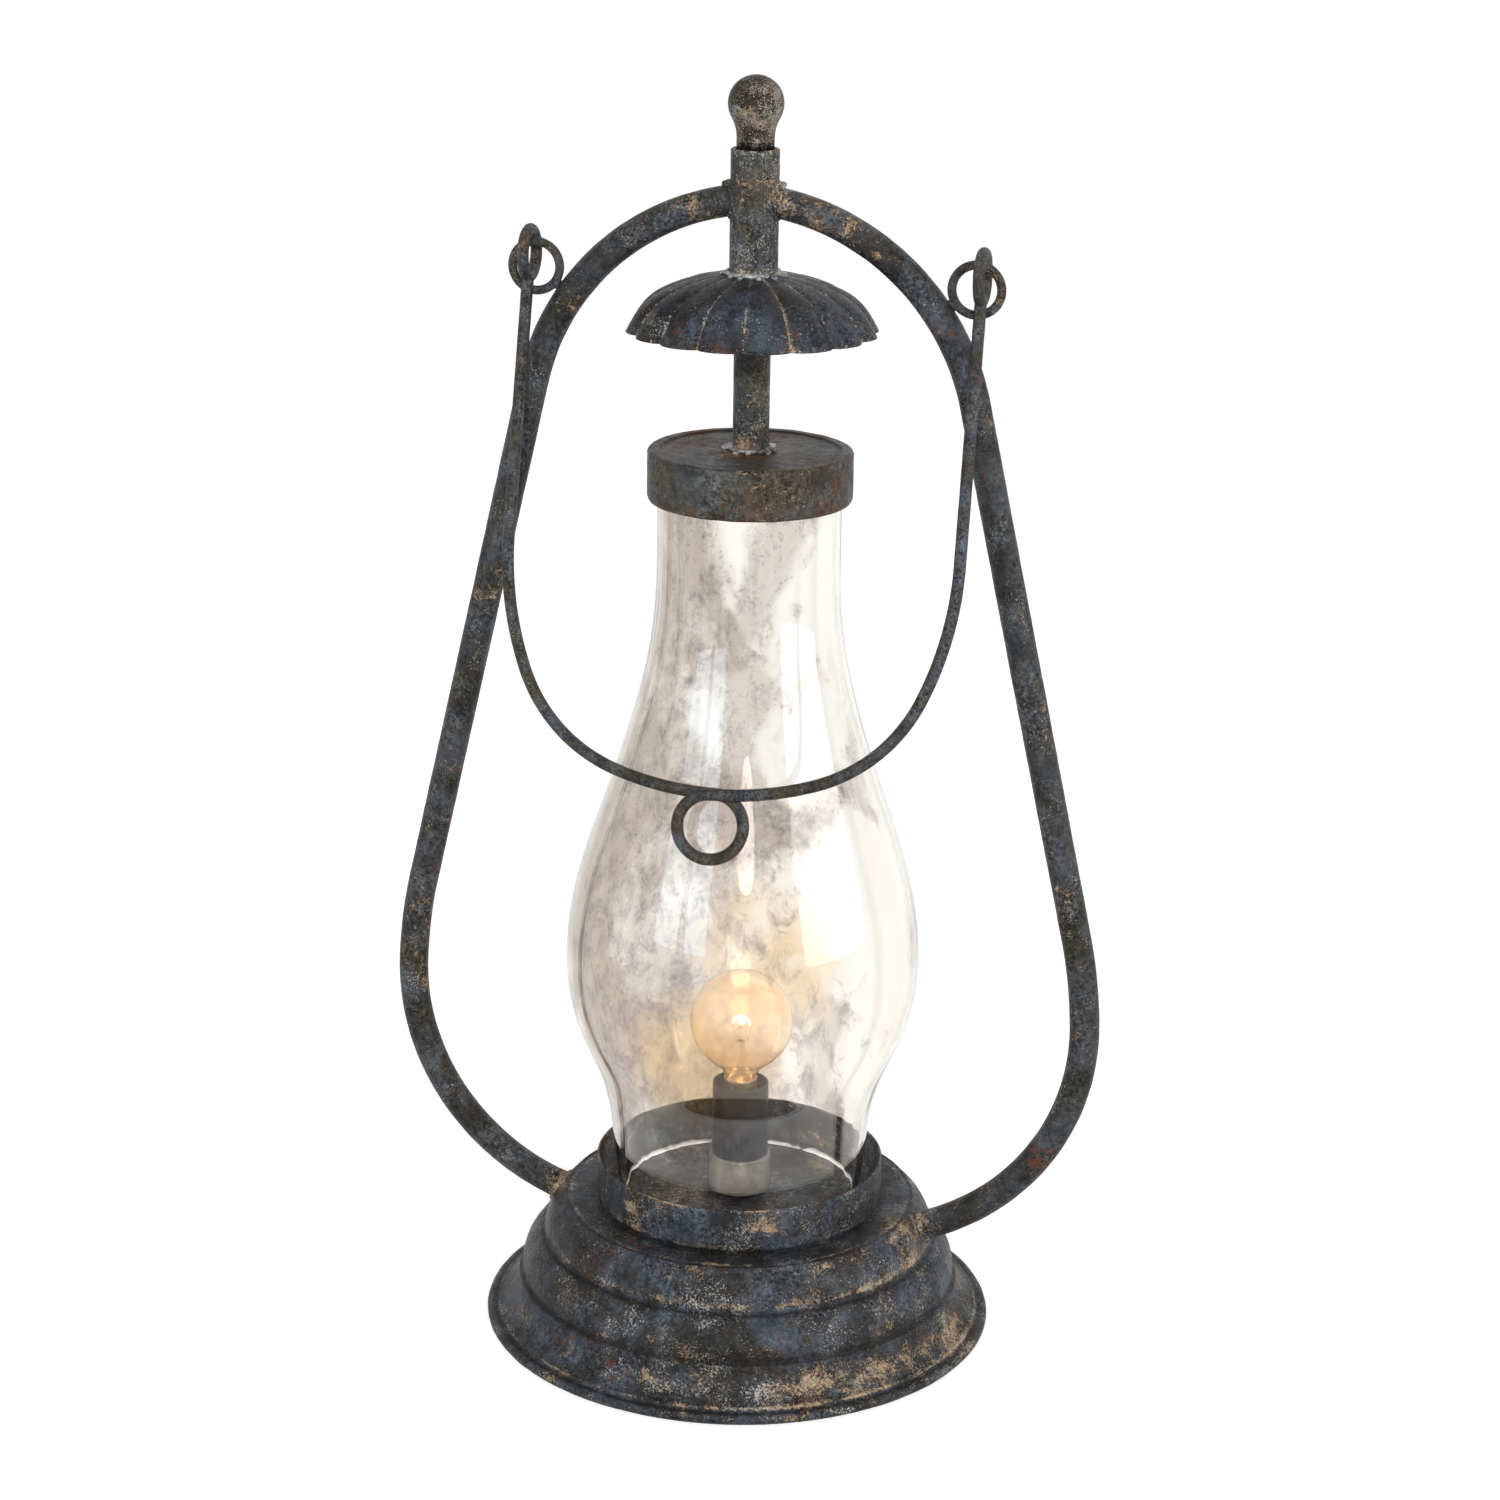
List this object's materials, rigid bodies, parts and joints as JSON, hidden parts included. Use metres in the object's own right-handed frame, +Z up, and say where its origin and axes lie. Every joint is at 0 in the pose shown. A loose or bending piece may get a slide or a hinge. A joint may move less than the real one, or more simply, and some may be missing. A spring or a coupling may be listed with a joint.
{
  "type": "table lamp",
  "caption": "Lantern-style table lamp: bent-tube frame on a stepped round base, glass chimney over a globe bulb, cap on a sliding ball-topped rod, fluted smoke bell and a swinging wire bail.",
  "frame": {"origin": "centre of the lamp's underside, where the felt pad meets the table", "axes": "+Z up along the lamp's axis; X across, through both frame tubes; -Y toward the viewer, the side on which the bail leans; +Y is the back, with the cord inlet"},
  "size_m": [0.3886, 0.2776, 0.6786],
  "materials": {
    "blackened_steel": "matte",
    "base_steel": "matte",
    "wire_steel": "satin",
    "felt": "matte",
    "bushing_plastic": "matte",
    "clear_glass": "gloss",
    "zinc_steel": "satin",
    "pale_ceramic": "satin",
    "dark_insulator": "satin",
    "white_ceramic": "gloss",
    "brass": "satin",
    "bright_metal": "satin",
    "black_glass": "gloss",
    "amber_glass": "gloss",
    "stem_glass": "gloss",
    "filament": "satin"
  },
  "bodies": {
    "lamp": {"base_pad": "felt", "base_shell": "base_steel", "cord_bushing": "bushing_plastic", "gallery_pan": "blackened_steel", "chimney_glass": "clear_glass", "guide_sleeve": "blackened_steel", "smoke_bell": "blackened_steel", "frame_tube_right": "blackened_steel", "frame_tube_left": "blackened_steel", "bail_ring_right": "wire_steel", "bail_ring_left": "wire_steel", "lamp_nipple": "zinc_steel", "nipple_nut": "zinc_steel", "nut_washer": "zinc_steel", "holder_spacer": "dark_insulator", "holder_foot_ring": "pale_ceramic", "holder_cover": "dark_insulator", "holder_body": "white_ceramic", "holder_shell": "brass", "holder_contact": "brass"},
    "lift": {"chimney_cap": "blackened_steel", "lift_rod": "blackened_steel", "finial_ball": "blackened_steel"},
    "bail": {"bail_handle": "wire_steel"},
    "bulb_carrier": {"bulb_tip": "brass"},
    "bulb": {"bulb_insulator": "black_glass", "bulb_shell": "bright_metal", "bulb_globe": "amber_glass", "bulb_stem": "stem_glass", "bulb_leads": "bright_metal", "bulb_filament": "filament"}
  },
  "joints": [
    {"name": "cap_lift", "type": "slide", "parent": "lamp", "child": "lift", "axis": [0, 0, 1], "range_m": [0, 0.0735]},
    {"name": "bail_swing", "type": "hinge", "parent": "lamp", "child": "bail", "pos_m": [0, 0, 0.58888], "axis": [-1, 0, 0], "range_deg": [0, 328.7]},
    {"name": "bulb_rise", "type": "slide", "parent": "lamp", "child": "bulb_carrier", "axis": [0, 0, 1], "range_m": [0, 0.0141]},
    {"name": "bulb_turn", "type": "hinge", "parent": "bulb_carrier", "child": "bulb", "pos_m": [0, 0, 0.11], "axis": [0, 0, 1], "range_deg": [0, 1800]}
  ],
  "couplings": [
    {"joint": "bulb_rise", "follows": "bulb_turn", "m_per_rad": 0.00044881}
  ]
}
